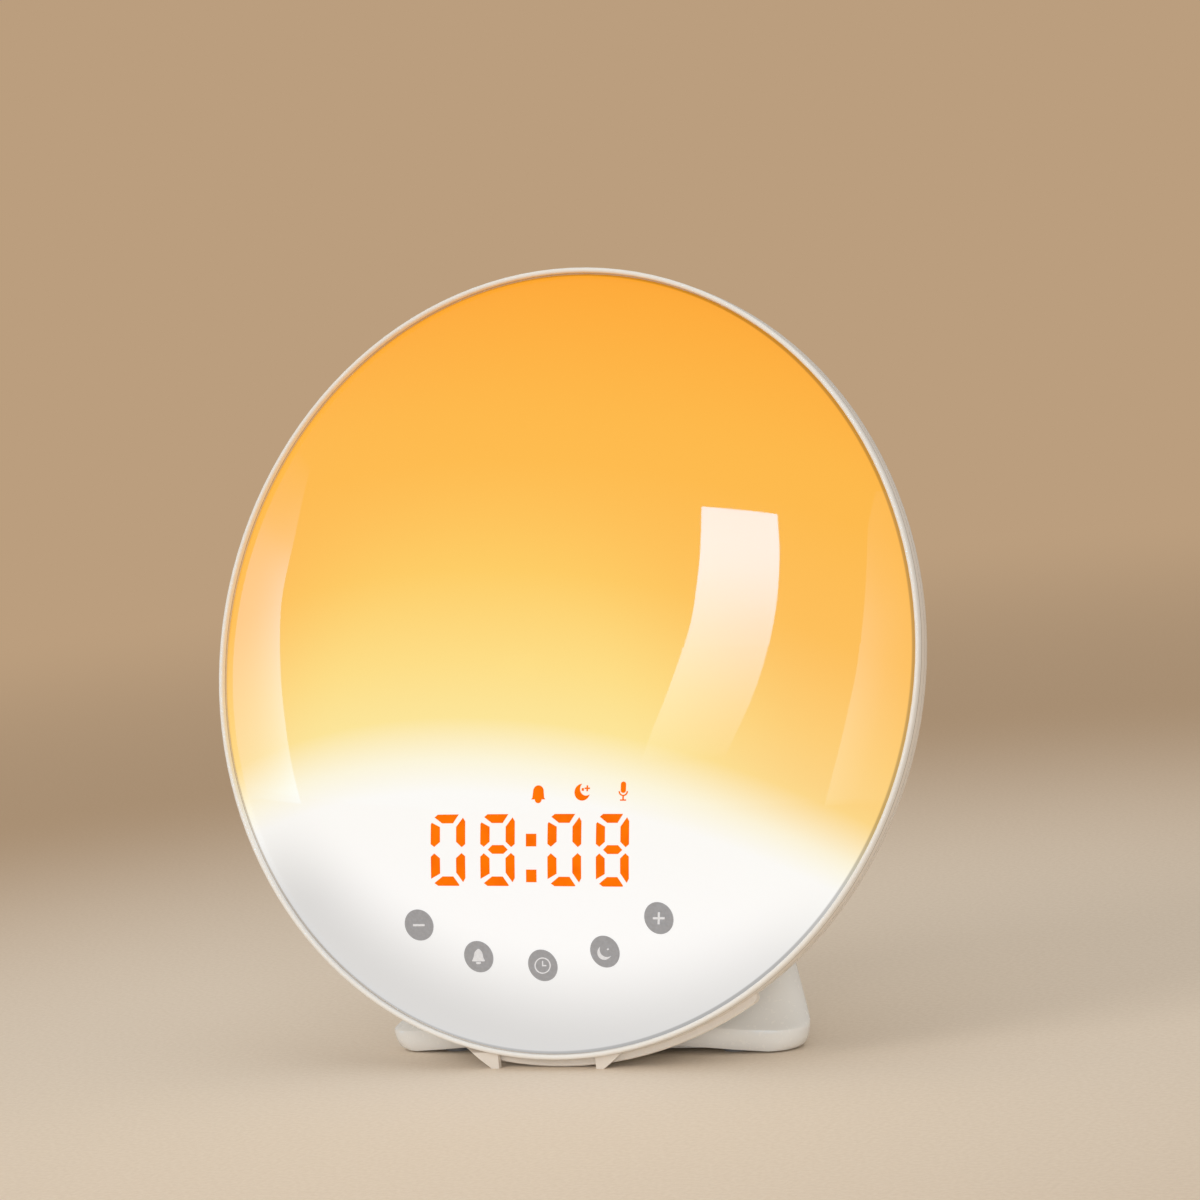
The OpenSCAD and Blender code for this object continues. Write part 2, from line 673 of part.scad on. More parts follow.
base_low = 1.2;
base_h = 2;
base_inset = 2.6;
base_screw_places = [[-38, 11], [38, 11], [-23, 29], [23, 29]];
module base_outline(inset) {
    level = stand_levels[2];
    translate([0, disc_y]) polygon(stand_outline(level[1] - inset, level[2] + inset, level[3] - inset));
}
module stand() {
    color([0.97, 0.96, 0.93]) difference() {
        union() {
            difference() {
                stand_loft(0, 0);
                stand_loft(wall, 2.5);
                translate([0, 0, -1]) linear_extrude(4.2) base_outline(base_inset - 0.2);
            }
            intersection() {
                union() {
                    for (p = base_screw_places) translate([p[0], p[1] + disc_y, base_low + base_h])
                        cylinder(r = 3.4, h = 40, $fn = 32);
                    on_face() for (p = stand_screw_places) translate([p[0], p[1], -44])
                        cylinder(r = 3.6, h = 34, $fn = 32);
                }
                stand_loft(0.5, 0);
                translate([-60, -60, base_low + base_h]) cube([120, 120, 60]);
            }
            intersection() {
                translate([-19, panel_y - 3, jack_z - 8]) cube([38, 20, 16]);
                stand_loft(0.5, 0);
            }
        }
        on_face() bowl(0.05);
        for (p = base_screw_places) translate([p[0], p[1] + disc_y, 0]) cylinder(r = 1.2, h = 11, $fn = 24);
        on_face() for (p = stand_screw_places) translate([p[0], p[1], -36])
            cylinder(r = 1.2, h = 30, $fn = 24);
        panel_cut();
    }
}
// Screws that hold the stand to the bowl, from inside
module stand_screws() {
    color([0.75, 0.76, 0.78]) on_face() for (p = stand_screw_places)
        translate([p[0], p[1], seat_w]) mirror([0, 0, 1]) screw(2.7, 1.15, 10);
}

// ---- Base plate, feet and battery ----

cap_place = [0, disc_y + 20];
cap_r = 12.5;
cap_h = 1.6;
lug_r = 13.5;
pocket_r = cell_d / 2 + 0.4;
notch_turn = 40;
base_foot_places = [[-36, 1.5], [36, 1.5], [-13, 45], [13, 45]];

module sector(r, from, to, low, high) {
    translate([0, 0, low]) linear_extrude(high - low)
        polygon(concat([[0, 0]], arc(0, 0, r, from, to, 6)));
}
module base_plate() {
    top = base_low + cap_h + 0.2 + cell_h + 0.5;
    color([0.9, 0.89, 0.86]) difference() {
        union() {
            translate([0, 0, base_low]) linear_extrude(base_h) base_outline(base_inset);
            translate([cap_place[0], cap_place[1], base_low]) cylinder(r = 15.8, h = top + 1.2 - base_low);
        }
        translate([cap_place[0], cap_place[1], 0]) {
            cylinder(r = cap_r + 0.08, h = base_low + cap_h + 0.05);
            translate([0, 0, base_low + 0.8]) cylinder(r = lug_r + 0.2, h = cap_h - 0.75);
            cylinder(r = pocket_r, h = top);
            for (a = [0, 180]) intersection() {
                sector(lug_r + 5, a - notch_turn - 26, a - notch_turn, 0, base_low + 1.2);
                cylinder(r = lug_r + 0.4, h = base_low + 2);
            }
        }
        for (p = base_screw_places) translate([p[0], p[1] + disc_y, 0]) {
            cylinder(r = 1.6, h = 9, $fn = 24);
            cylinder(r = 3, h = base_low + 1, $fn = 32);
        }
        for (p = base_foot_places) translate([p[0], p[1] + disc_y, 0])
            cylinder(r = 4.2, h = base_low + 0.7, $fn = 48);
        for (s = [-1, 1]) translate([cap_place[0] + s * (pocket_r + 1.2) - 0.5, cap_place[1] - 2, top - 1])
            cube([1, 4, 4]);
    }
}
module base_screws() {
    color([0.75, 0.76, 0.78]) for (p = base_screw_places) translate([p[0], p[1] + disc_y, base_low + 1])
        screw_low();
}
module screw_low() {
    difference() {
        translate([0, 0, -0.9]) cylinder(r = 2.6, h = 0.9, $fn = 32);
        for (a = [0, 90]) rotate([0, 0, a]) translate([-1.6, -0.3, -1]) cube([3.2, 0.6, 0.6]);
    }
    translate([0, 0, -eps]) cylinder(r = 1.15, h = 8, $fn = 24);
}
module rubber_feet() {
    color([0.55, 0.55, 0.56]) for (p = base_foot_places) translate([p[0], p[1] + disc_y, 0])
        cylinder(r = 4.1, h = base_low + 0.65, $fn = 48);
}
module battery_cap() {
    color([0.88, 0.87, 0.84]) translate([cap_place[0], cap_place[1], base_low]) difference() {
        union() {
            cylinder(r = cap_r, h = cap_h);
            for (a = [0, 180]) intersection() {
                sector(lug_r + 5, a - 10, a + 10, 0.95, cap_h);
                cylinder(r = lug_r, h = cap_h);
            }
        }
        translate([-7, -0.8, -1]) cube([14, 1.6, 1.8]);
    }
}
module coin_cell() {
    color([0.8, 0.8, 0.81]) translate([cap_place[0], cap_place[1], base_low + cap_h + 0.2]) {
        cylinder(d = cell_d, h = cell_h - 0.5);
        cylinder(d = cell_d - 2.4, h = cell_h);
    }
}
module battery_contacts() {
    leaf = base_low + cap_h + 0.2 + cell_h;
    color([0.85, 0.75, 0.4]) translate([cap_place[0], cap_place[1], 0]) {
        translate([-6, -1.5, leaf + 0.02]) cube([12, 3, 0.3]);
        for (s = [-1, 1]) translate([s * (pocket_r + 1.2) - 0.25, -1.5, leaf - 0.4]) cube([0.5, 3, 4.2]);
    }
}

// ---- Power inlet, reset button and aerial gland in the back of the stand ----

jack_z = 15;
panel_y = disc_y + stand_back - 9;          // floor of the recess that the three sit in
reset_x = 11;
gland_x = -10;
reset_travel = 0.6;
jack_board_z = 8;

module along_y(x, y, z) { translate([x, y, z]) rotate([-90, 0, 0]) children(); }
module panel_cut() {
    along_y(0, panel_y, jack_z) linear_extrude(20) {
        for (s = [-1, 1]) translate([s * 11.5, 0]) circle(r = 5.4, $fn = 40);
        square([23, 10.8], center = true);
    }
    along_y(0, panel_y - 5, jack_z) cylinder(r = 4.55, h = 8, $fn = 48);
    along_y(reset_x, panel_y - 5, jack_z) cylinder(r = 1.56, h = 8, $fn = 32);
    along_y(gland_x, panel_y - 5, jack_z) cylinder(r = 2.65, h = 8, $fn = 32);
}
module dc_jack() {
    bore = jack_bore_d / 2;
    low = jack_board_z + board_h;
    color([0.08, 0.08, 0.09]) {
        difference() {
            union() {
                translate([-4.8, panel_y - 14, low]) cube([9.6, 10.9, jack_z + 4.4 - low]);
                along_y(0, panel_y - 3.2, jack_z) cylinder(r = 4.4, h = 3.7, $fn = 64);
            }
            along_y(0, panel_y - 9.5, jack_z) cylinder(r = bore, h = 12, $fn = 64);
        }
        along_y(0, panel_y - 10, jack_z) cylinder(r = 1, h = 9, $fn = 32);
    }
}
module jack_board() {
    color([0.1, 0.38, 0.2]) {
        translate([-17, panel_y - 20, jack_board_z]) cube([34, 16.9, board_h]);
        translate([reset_x - 3, panel_y - 13, jack_board_z + board_h - eps]) cube([6, 4, 8.2]);
    }
}
module reset_button() {
    color([0.2, 0.2, 0.22]) along_y(reset_x, panel_y - 9 + reset_travel, jack_z) {
        cylinder(r = 1.5, h = 8.4 - reset_travel, $fn = 32);
        translate([0, 0, 3]) cylinder(r = 2.4, h = 1, $fn = 32);
    }
}
module aerial_gland() {
    color([0.12, 0.12, 0.13]) along_y(gland_x, panel_y - 4.6, jack_z) difference() {
        union() {
            cylinder(r = 2.6, h = 6, $fn = 48);
            cylinder(r = 3.2, h = 1.5, $fn = 48);
        }
        translate([0, 0, -1]) cylinder(r = 0.7, h = 14, $fn = 24);
    }
}

// ---- Leads inside the case ----

// A tube of radius r swept along points that lie near one upright plane across X
module lead(path, r) {
    sides = 8;
    last = len(path) - 1;
    points = [for (i = [0:last])
        let (
            ahead = path[min(i + 1, last)] - path[max(i - 1, 0)],
            along = ahead / norm(ahead),
            side = cross(along, [0, 0, 1]) / norm(cross(along, [0, 0, 1])),
            up = cross(side, along)
        )
        for (k = [0:sides - 1]) path[i] + r * (cos(360 * k / sides) * side + sin(360 * k / sides) * up)];
    polyhedron(points, tube_faces(last, sides));
}
function to_world(p) = [
    p[0], disc_y + p[1] * sin(lean) - p[2] * cos(lean), disc_z + p[1] * cos(lean) + p[2] * sin(lean)
];
function curve(a, b, c, d, n) = [for (i = [0:n]) let (t = i / n, s = 1 - t)
    s * s * s * a + 3 * s * s * t * b + 3 * s * t * t * c + t * t * t * d];

module power_lead() {
    start = [0, panel_y - 17.5, jack_board_z + board_h + 1.2];
    color([0.75, 0.12, 0.1]) lead(curve(
        start, start + [0, -7, 6], to_world([lead_hole[0], lead_hole[1], -32]),
        to_world([lead_hole[0], lead_hole[1] + 4, main_w - 1]), 14), 1.1);
}
module speaker_lead() {
    color([0.1, 0.1, 0.1]) lead([for (p = curve(
        [-15, -31, main_w - 1.2], [-15, -24, main_w - 1.2], [-15, -19, main_w - 2],
        [-15, -12, speaker_w + 5.2], 8)) to_world(p)], 1);
}

diffuser_dome();
front_bezel();
mark_minus();
mark_alarm();
mark_clock();
mark_sleep();
mark_plus();
display_segments();
display_icons();
display_shroud();
display_board();
touch_board();
touch_springs();
light_tray();
light_board();
light_leds();
main_board();
main_board_parts();
speaker_frame();
speaker_magnet();
speaker_cone();
rear_housing();
speaker_grille();
grille_cloth();
snooze_key();
light_key();
radio_key();
key_boards();
key_switches();
housing_screws();
stand();
stand_screws();
base_plate();
base_screws();
rubber_feet();
battery_cap();
coin_cell();
battery_contacts();
jack_board();
dc_jack();
reset_button();
aerial_gland();
power_lead();
speaker_lead();
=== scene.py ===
import bpy, math
from mathutils import Vector, Matrix


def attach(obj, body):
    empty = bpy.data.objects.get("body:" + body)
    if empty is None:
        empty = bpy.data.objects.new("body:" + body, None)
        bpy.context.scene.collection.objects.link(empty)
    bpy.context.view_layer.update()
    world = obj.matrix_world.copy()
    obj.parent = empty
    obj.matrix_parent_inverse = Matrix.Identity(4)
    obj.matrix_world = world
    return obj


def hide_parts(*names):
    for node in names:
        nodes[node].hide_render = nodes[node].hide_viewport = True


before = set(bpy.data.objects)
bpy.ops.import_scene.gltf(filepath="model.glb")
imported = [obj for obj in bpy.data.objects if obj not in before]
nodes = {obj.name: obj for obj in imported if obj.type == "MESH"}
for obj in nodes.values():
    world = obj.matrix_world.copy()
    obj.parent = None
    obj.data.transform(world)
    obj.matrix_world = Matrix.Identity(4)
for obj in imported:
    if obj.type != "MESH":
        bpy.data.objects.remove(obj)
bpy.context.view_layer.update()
bpy.ops.object.select_all(action="DESELECT")

# ---------------------------------------------------------------------------------------------
# Rear housing, bezel and stand. Off-white ABS, injection moulded and left as it comes from a
# polished tool. The bowl carries the works, the bezel is held to it by four screws from behind,
# and the flared stand by two from inside the bowl.
# ---------------------------------------------------------------------------------------------
case_colour = (0.89, 0.872, 0.838)
warm_sheen = (1.0, 0.87, 0.68, 1)
# the middle of the face, and how far it leans back
lean = math.radians(12.8)
face_y = -0.017602
face_z = 0.089863
# corners of a solid's loose triangles that are nearer than this are one corner
merge_gap = 0.000004


def new_material(name):
    material = bpy.data.materials.new(name)
    material.use_nodes = True
    tree = material.node_tree
    tree.nodes.clear()
    shader = tree.nodes.new("ShaderNodeBsdfPrincipled")
    output = tree.nodes.new("ShaderNodeOutputMaterial")
    tree.links.new(shader.outputs["BSDF"], output.inputs["Surface"])
    return material, tree, shader


def node(tree, kind, inputs=(), **settings):
    """A shader node; each input is given as a socket to link or as a value."""
    made = tree.nodes.new("ShaderNode" + kind)
    for key, value in settings.items():
        setattr(made, key, value)
    for key, value in dict(inputs).items():
        if hasattr(value, "links"):
            tree.links.new(value, made.inputs[key])
        else:
            made.inputs[key].default_value = value
    return made


def object_coordinates(tree):
    return tree.nodes.new("ShaderNodeTexCoord").outputs["Object"]


def grain(tree, scale, detail=3.0, stretch=(1, 1, 1)):
    """A noise pattern at a scale per metre, on the piece's own coordinates."""
    placed = node(tree, "Mapping", {"Vector": object_coordinates(tree), "Scale": stretch})
    noise = node(tree, "TexNoise", {"Vector": placed.outputs[0], "Scale": scale, "Detail": detail})
    return noise.outputs["Fac"]


def spread(tree, factor, low, high, from_low=0.3, from_high=0.7):
    """A factor stretched to the range from low to high."""
    return node(tree, "MapRange", {"Value": factor, "From Min": from_low, "From Max": from_high,
                                   "To Min": low, "To Max": high}).outputs[0]


def smooth_range(tree, value, start, end, low=0.0, high=1.0):
    """Runs softly from low to high as the value goes from start to end."""
    return node(tree, "MapRange", {"Value": value, "From Min": start, "From Max": end,
                                   "To Min": low, "To Max": high},
                interpolation_type="SMOOTHSTEP").outputs[0]


def times(tree, first, second):
    return node(tree, "Math", {0: first, 1: second}, operation="MULTIPLY").outputs[0]


def blend(tree, factor, first, second, kind="MIX"):
    return node(tree, "Mix", {0: factor, 6: first, 7: second},
                data_type="RGBA", blend_type=kind).outputs[2]


def two_tone(tree, factor, dark, light, low=0.35, high=0.65):
    ramp = node(tree, "ValToRGB", {"Fac": factor})
    first, second = ramp.color_ramp.elements
    first.position = low
    first.color = (*dark, 1)
    second.position = high
    second.color = (*light, 1)
    return ramp.outputs["Color"]


def shaded(colour, share):
    return tuple(c * share for c in colour)


def bumps(tree, shader, height, depth):
    bump = node(tree, "Bump", {"Height": height, "Distance": depth, "Strength": 1.0})
    tree.links.new(bump.outputs[0], shader.inputs["Normal"])


def moulded_plastic(name, colour, roughness, ripple=0.00002, coat=0.3):
    """Glossy plastic with faint clouds in its colour and the slight ripple of a moulding."""
    material, tree, shader = new_material(name)
    clouds = grain(tree, 22, 4)
    fine = grain(tree, 900, 2)
    tree.links.new(two_tone(tree, clouds, shaded(colour, 0.965), colour),
                   shader.inputs["Base Color"])
    tree.links.new(spread(tree, fine, roughness * 0.85, roughness * 1.2),
                   shader.inputs["Roughness"])
    bumps(tree, shader, grain(tree, 60, 2), ripple)
    shader.inputs["Coat Weight"].default_value = coat
    shader.inputs["Coat Roughness"].default_value = 0.06
    shader.inputs["Coat Tint"].default_value = warm_sheen
    shader.inputs["Specular Tint"].default_value = warm_sheen
    return material


def dress(material, *names):
    """The finish of pieces that keep their solids."""
    for name in names:
        for place in nodes[name].material_slots:
            place.material = material


def only(piece):
    bpy.ops.object.select_all(action="DESELECT")
    piece.select_set(True)
    bpy.context.view_layer.objects.active = piece


def polished_shell(name, material, angle, body="clock"):
    """A copy of a solid with its loose triangles joined up and its curves shaded smooth."""
    piece = bpy.data.objects.new(name + "_shell", nodes[name].data.copy())
    bpy.context.scene.collection.objects.link(piece)
    only(piece)
    bpy.ops.mesh.customdata_custom_splitnormals_clear()
    bpy.ops.object.mode_set(mode="EDIT")
    bpy.ops.mesh.select_all(action="SELECT")
    bpy.ops.mesh.remove_doubles(threshold=merge_gap)
    bpy.ops.object.mode_set(mode="OBJECT")
    bpy.ops.object.shade_smooth_by_angle(angle=math.radians(angle))
    piece.data.materials.clear()
    piece.data.materials.append(material)
    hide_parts(name)
    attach(piece, body)
    return piece


def face_coordinates(tree, shift=(0, 0)):
    """Object coordinates turned to run across, up and out of the leaning face, in metres."""
    middle_v = face_y * math.sin(lean) + face_z * math.cos(lean)
    middle_w = -face_y * math.cos(lean) + face_z * math.sin(lean)
    return node(tree, "Mapping", {
        "Vector": object_coordinates(tree), "Rotation": (lean - math.pi / 2, 0, 0),
        "Location": (-shift[0], -middle_v - shift[1], -middle_w)}).outputs[0]


def distance_on_face(tree, centre):
    flat = node(tree, "VectorMath", {0: face_coordinates(tree, centre), 1: (1, 1, 0)},
                operation="MULTIPLY")
    return node(tree, "VectorMath", {0: flat.outputs[0]}, operation="LENGTH").outputs["Value"]


def rim_white_painted_shade(name, roughness, coat):
    """Case plastic with painted shade on its rim: below the bead the band takes a warm, dim tone of
    painted shade, and in the fine step that parts the two lies a dark painted shadow. The four ranges
    are heights over the plane of the face, in metres."""
    band_bottom = (-0.0036, -0.0032)
    band_top = (0.00028, 0.0001)
    step_bottom = (0.0001, 0.0002)
    step_top = (0.00045, 0.00035)
    material, tree, shader = new_material(name)
    out = node(tree, "SeparateXYZ", {0: face_coordinates(tree)}).outputs[2]
    clouds = two_tone(tree, grain(tree, 22, 4), (0.86, 0.842, 0.808), case_colour)
    # painted shade: the band below the bead is toned warm and dim, and the fine step at the bead's base
    # is painted dark as a shadow
    band_shade = times(tree, smooth_range(tree, out, *band_top), smooth_range(tree, out, *band_bottom))
    step = times(tree, smooth_range(tree, out, *step_bottom), smooth_range(tree, out, *step_top))
    band_shade_tone = blend(tree, band_shade, (1, 1, 1, 1), (0.93, 0.885, 0.84, 1))
    groove_shadow_tone = blend(tree, step, band_shade_tone, (0.50, 0.45, 0.41, 1))
    tree.links.new(blend(tree, 1.0, clouds, groove_shadow_tone, "MULTIPLY"), shader.inputs["Base Color"])
    tree.links.new(spread(tree, grain(tree, 60, 1), roughness * 0.9, roughness * 1.1),
                   shader.inputs["Roughness"])
    bumps(tree, shader, grain(tree, 60, 1), 0.000004)
    shader.inputs["Coat Weight"].default_value = coat
    shader.inputs["Coat Roughness"].default_value = 0.14
    shader.inputs["Specular IOR Level"].default_value = 0.33
    shader.inputs["Specular Tint"].default_value = warm_sheen
    return material


housing_white = rim_white_painted_shade("housing_white", roughness=0.27, coat=0.05)
bezel_white = rim_white_painted_shade("bezel_white", roughness=0.32, coat=0.0)
stand_white = moulded_plastic("stand_white", (0.885, 0.90, 0.905), roughness=0.24, coat=0.12)
polished_shell("rear_housing", housing_white, angle=28)
polished_shell("front_bezel", bezel_white, angle=28)
polished_shell("stand", stand_white, angle=34)

# ---------------------------------------------------------------------------------------------
# Push keys. The same plastic with a finer spark-eroded grain, so a finger finds them; each sits
# in an opening of the bowl, and its flange keeps it in.
# ---------------------------------------------------------------------------------------------
key_white = moulded_plastic("key_white", (0.87, 0.845, 0.805), roughness=0.38, ripple=0.00001, coat=0.1)
for name in ("snooze_key", "light_key", "radio_key"):
    polished_shell(name, key_white, angle=28, body=name)

# ---------------------------------------------------------------------------------------------
# Boards. Fibreglass with green solder mask, copper tracks that show through it as lighter lines,
# and the small parts on them; the lamp board has white mask so that it throws light forward.
# ---------------------------------------------------------------------------------------------


def solder_mask(name, mask, track):
    material, tree, shader = new_material(name)
    cells = node(tree, "TexBrick", {
        "Vector": object_coordinates(tree), "Scale": 160.0, "Mortar Size": 0.035,
        "Color1": (*mask, 1), "Color2": (*shaded(mask, 0.85), 1), "Mortar": (*track, 1)})
    tree.links.new(cells.outputs["Color"], shader.inputs["Base Color"])
    tree.links.new(spread(tree, grain(tree, 500), 0.25, 0.45), shader.inputs["Roughness"])
    bumps(tree, shader, cells.outputs["Fac"], 0.00003)
    return material


def matt_moulding(name, colour, roughness=0.6, scale=1400, depth=0.00003):
    """Spark-eroded or unpolished plastic and rubber: a fine even grain."""
    material, tree, shader = new_material(name)
    speck = grain(tree, scale, 2)
    tree.links.new(two_tone(tree, speck, shaded(colour, 0.85), colour),
                   shader.inputs["Base Color"])
    tree.links.new(spread(tree, speck, roughness * 0.85, min(1, roughness * 1.15)),
                   shader.inputs["Roughness"])
    bumps(tree, shader, speck, depth)
    return material


green_board = solder_mask("green_board", mask=(0.012, 0.11, 0.035), track=(0.05, 0.24, 0.08))
white_board = solder_mask("white_board", mask=(0.80, 0.81, 0.78), track=(0.70, 0.70, 0.66))
chip_black = matt_moulding("chip_black", (0.022, 0.022, 0.024), roughness=0.5)
led_phosphor = matt_moulding("led_phosphor", (0.95, 0.72, 0.22), roughness=0.3, scale=2500)
dress(green_board, "main_board", "display_board", "touch_board", "key_boards", "jack_board")
dress(white_board, "light_board")
dress(chip_black, "main_board_parts", "key_switches")
dress(led_phosphor, "light_leds")

# ---------------------------------------------------------------------------------------------
# Loudspeaker. Pressed steel frame, ferrite magnet, black paper cone, and black gauze glued behind
# the moulded grille that is let into the flat of the bowl.
# ---------------------------------------------------------------------------------------------


def gauze():
    material, tree, shader = new_material("gauze")
    threads = [node(tree, "TexWave", {"Vector": object_coordinates(tree), "Scale": 420.0},
                    bands_direction=way).outputs["Fac"] for way in "XZ"]
    weave = times(tree, *threads)
    tree.links.new(two_tone(tree, weave, (0.004, 0.004, 0.005), (0.03, 0.03, 0.032), 0.1, 0.5),
                   shader.inputs["Base Color"])
    shader.inputs["Roughness"].default_value = 0.9
    bumps(tree, shader, weave, 0.0002)
    return material


frame_black = matt_moulding("frame_black", (0.03, 0.03, 0.033), roughness=0.45)
ferrite = matt_moulding("ferrite", (0.075, 0.073, 0.072), roughness=0.55, scale=700, depth=0.00008)
cone_paper = matt_moulding("cone_paper", (0.02, 0.02, 0.021), roughness=0.85, scale=600, depth=0.0001)
dress(frame_black, "speaker_frame")
dress(ferrite, "speaker_magnet")
dress(cone_paper, "speaker_cone")
dress(gauze(), "grille_cloth")
dress(moulded_plastic("case_white", case_colour, roughness=0.2), "speaker_grille")

# ---------------------------------------------------------------------------------------------
# Light tray and display shroud. Matt white plastic that mixes the lamp's light behind the face
# and keeps the light of the segments in their own channels.
# ---------------------------------------------------------------------------------------------
tray_white = matt_moulding("tray_white", (0.84, 0.84, 0.82), roughness=0.7)
dress(tray_white, "light_tray", "display_shroud")

# ---------------------------------------------------------------------------------------------
# Metal parts: zinc-plated screws, drawn spring wire, the nickel-plated cell and bronze contacts.
# The screws hold the case from behind and below, and behind each touch key a coil of wire reaches
# from the touch board to the face.
# ---------------------------------------------------------------------------------------------


def plated_metal(name, colour, roughness, stretch=(1, 1, 12)):
    """Metal with fine marks along one way, left by drawing, turning or rolling."""
    material, tree, shader = new_material(name)
    brushed = grain(tree, 300, 4, stretch)
    tree.links.new(two_tone(tree, brushed, shaded(colour, 0.8), colour),
                   shader.inputs["Base Color"])
    tree.links.new(spread(tree, brushed, roughness * 0.7, roughness * 1.4),
                   shader.inputs["Roughness"])
    shader.inputs["Metallic"].default_value = 1.0
    bumps(tree, shader, brushed, 0.00001)
    return material


zinc = plated_metal("zinc", (0.62, 0.63, 0.65), roughness=0.3)
spring_wire = plated_metal("spring_wire", (0.55, 0.55, 0.56), roughness=0.25)
nickel = plated_metal("nickel", (0.72, 0.71, 0.69), roughness=0.2, stretch=(1, 12, 1))
bronze = plated_metal("bronze", (0.75, 0.55, 0.25), roughness=0.3)
dress(zinc, "housing_screws", "stand_screws", "base_screws")
dress(spring_wire, "touch_springs")
dress(nickel, "coin_cell")
dress(bronze, "battery_contacts")

# ---------------------------------------------------------------------------------------------
# Diffuser. One domed moulding of translucent acrylic with a polished face. The lamp behind it
# glows orange at the top, through yellow, to the white glare that rises round the display.
# ---------------------------------------------------------------------------------------------


def srgb(*rgb):
    """A colour in 0 to 255 as the eye counts it, turned to amounts of light."""
    return tuple(c / 255 / 12.92 if c / 255 <= 0.04045 else ((c / 255 + 0.055) / 1.055) ** 2.4
                 for c in rgb)


def scaled(tree, colour, factor):
    return node(tree, "VectorMath", {0: colour, "Scale": factor}, operation="SCALE").outputs[0]


def sunrise():
    # the glow follows the distance from a point far below the face; a stop is its place
    # between the nearest and the furthest distance, and its colour
    glow_centre = (-0.025, -0.230)
    nearest = 0.179
    furthest = 0.319
    glow = [(0.0, 251, 251, 251), (0.15, 251, 251, 249), (0.20, 251, 246, 222),
            (0.27, 251, 229, 152), (0.36, 252, 221, 132), (0.51, 252, 204, 97),
            (0.69, 252, 188, 72), (1.0, 252, 168, 43)]
    material, tree, shader = new_material("sunrise_diffuser")
    height = node(tree, "MapRange", {"Value": distance_on_face(tree, glow_centre),
                                     "From Min": nearest, "From Max": furthest}).outputs[0]
    ramp = node(tree, "ValToRGB", {"Fac": height})
    stops = ramp.color_ramp.elements
    for i, (place, *colour) in enumerate(glow):
        stop = stops[i] if i < 2 else stops.new(1.0)
        stop.position = place
        stop.color = (*srgb(*colour), 1)
    # away from the middle the yellow is weaker, and the orange comes down to the white
    side = smooth_range(tree, distance_on_face(tree, (-0.014, -0.020)), 0.035, 0.085)
    belt = times(tree, smooth_range(tree, height, 0.17, 0.30),
                 smooth_range(tree, height, 0.45, 0.80, 1.0, 0.0))
    amber = blend(tree, times(tree, side, belt), (1, 1, 1, 1), (1, 0.85, 0.76, 1))
    tinted = blend(tree, 1.0, ramp.outputs["Color"], amber, "MULTIPLY")
    # the lower edge falls off to grey in painted shade
    lower_edge_painted_shade = smooth_range(tree, distance_on_face(tree, (0.012, 0.020)), 0.084, 0.108, 1.0, 0.72)
    low_down = smooth_range(tree, height, 0.2, 0.0)
    shade = node(tree, "Mix", {0: low_down, 2: 1.0, 3: lower_edge_painted_shade}).outputs[0]
    # and its edge is in the shade of the bezel's bead, most on the right
    edge = smooth_range(tree, distance_on_face(tree, (-0.00045, 0.0001)), 0.0880, 0.0884)
    across = node(tree, "SeparateXYZ", {0: face_coordinates(tree)}).outputs[0]
    rim_shade = times(tree, edge, smooth_range(tree, across, -0.07, 0.06, 0.20, 0.42))
    rest = node(tree, "Math", {0: 1.0, 1: rim_shade}, operation="SUBTRACT").outputs[0]
    lit = scaled(tree, tinted, times(tree, shade, rest))
    tree.links.new(scaled(tree, lit, 0.26), shader.inputs["Base Color"])
    tree.links.new(lit, shader.inputs["Emission Color"])
    shader.inputs["Emission Strength"].default_value = 0.76
    tree.links.new(spread(tree, grain(tree, 300, 2), 0.012, 0.026), shader.inputs["Roughness"])
    bumps(tree, shader, grain(tree, 18, 1), 0.000004)
    return material


dress(sunrise(), "diffuser_dome")

# ---------------------------------------------------------------------------------------------
# Time segments and icons. Clear orange light guides that stand in the channels of the shroud;
# their front ends come through openings in the face, and stand a tenth of a millimetre proud.
# ---------------------------------------------------------------------------------------------


def lit_guide():
    material, tree, shader = new_material("lit_orange")
    flow = grain(tree, 240, 2)
    tree.links.new(two_tone(tree, flow, (0.96, 0.15, 0.0), (1.0, 0.185, 0.0)),
                   shader.inputs["Emission Color"])
    shader.inputs["Emission Strength"].default_value = 0.95
    tree.links.new(two_tone(tree, flow, (0.05, 0.005, 0.0), (0.08, 0.01, 0.0)),
                   shader.inputs["Base Color"])
    shader.inputs["Roughness"].default_value = 0.3
    shader.inputs["Specular IOR Level"].default_value = 0.06
    return material


dress(lit_guide(), "display_segments", "display_icons")

# ---------------------------------------------------------------------------------------------
# Touch keys. Round pads printed in grey ink on the face, and on each a paler sign in a second
# printing, a few hundredths of a millimetre thick: minus, alarm bell, clock, sleep and plus.
# The signs are drawn flat, in millimetres, and are shrunk, slanted and set down on the dome.
# ---------------------------------------------------------------------------------------------
dome_edge = 0.08865
dome_height = 0.0174
dome_radius = (dome_edge ** 2 + dome_height ** 2) / (2 * dome_height)
face_turn = Matrix.Rotation(math.pi / 2 - lean, 4, "X")
pad_thickness = 0.00015
sign_depth = 0.1
line_width = 0.53


def printed_ink(name, colour, through):
    """Screen ink with the fine mottle of its mesh; some of the lamp's light comes through it."""
    mesh_scale = 1600
    material, tree, shader = new_material(name)
    mottle = two_tone(tree, grain(tree, mesh_scale, 3), shaded(colour, 0.93), shaded(colour, 1.03))
    tree.links.new(scaled(tree, mottle, 1 - through), shader.inputs["Base Color"])
    tree.links.new(mottle, shader.inputs["Emission Color"])
    shader.inputs["Emission Strength"].default_value = through
    tree.links.new(spread(tree, grain(tree, mesh_scale, 3), 0.34, 0.46),
                   shader.inputs["Roughness"])
    bumps(tree, shader, grain(tree, mesh_scale, 3), 0.000003)
    return material


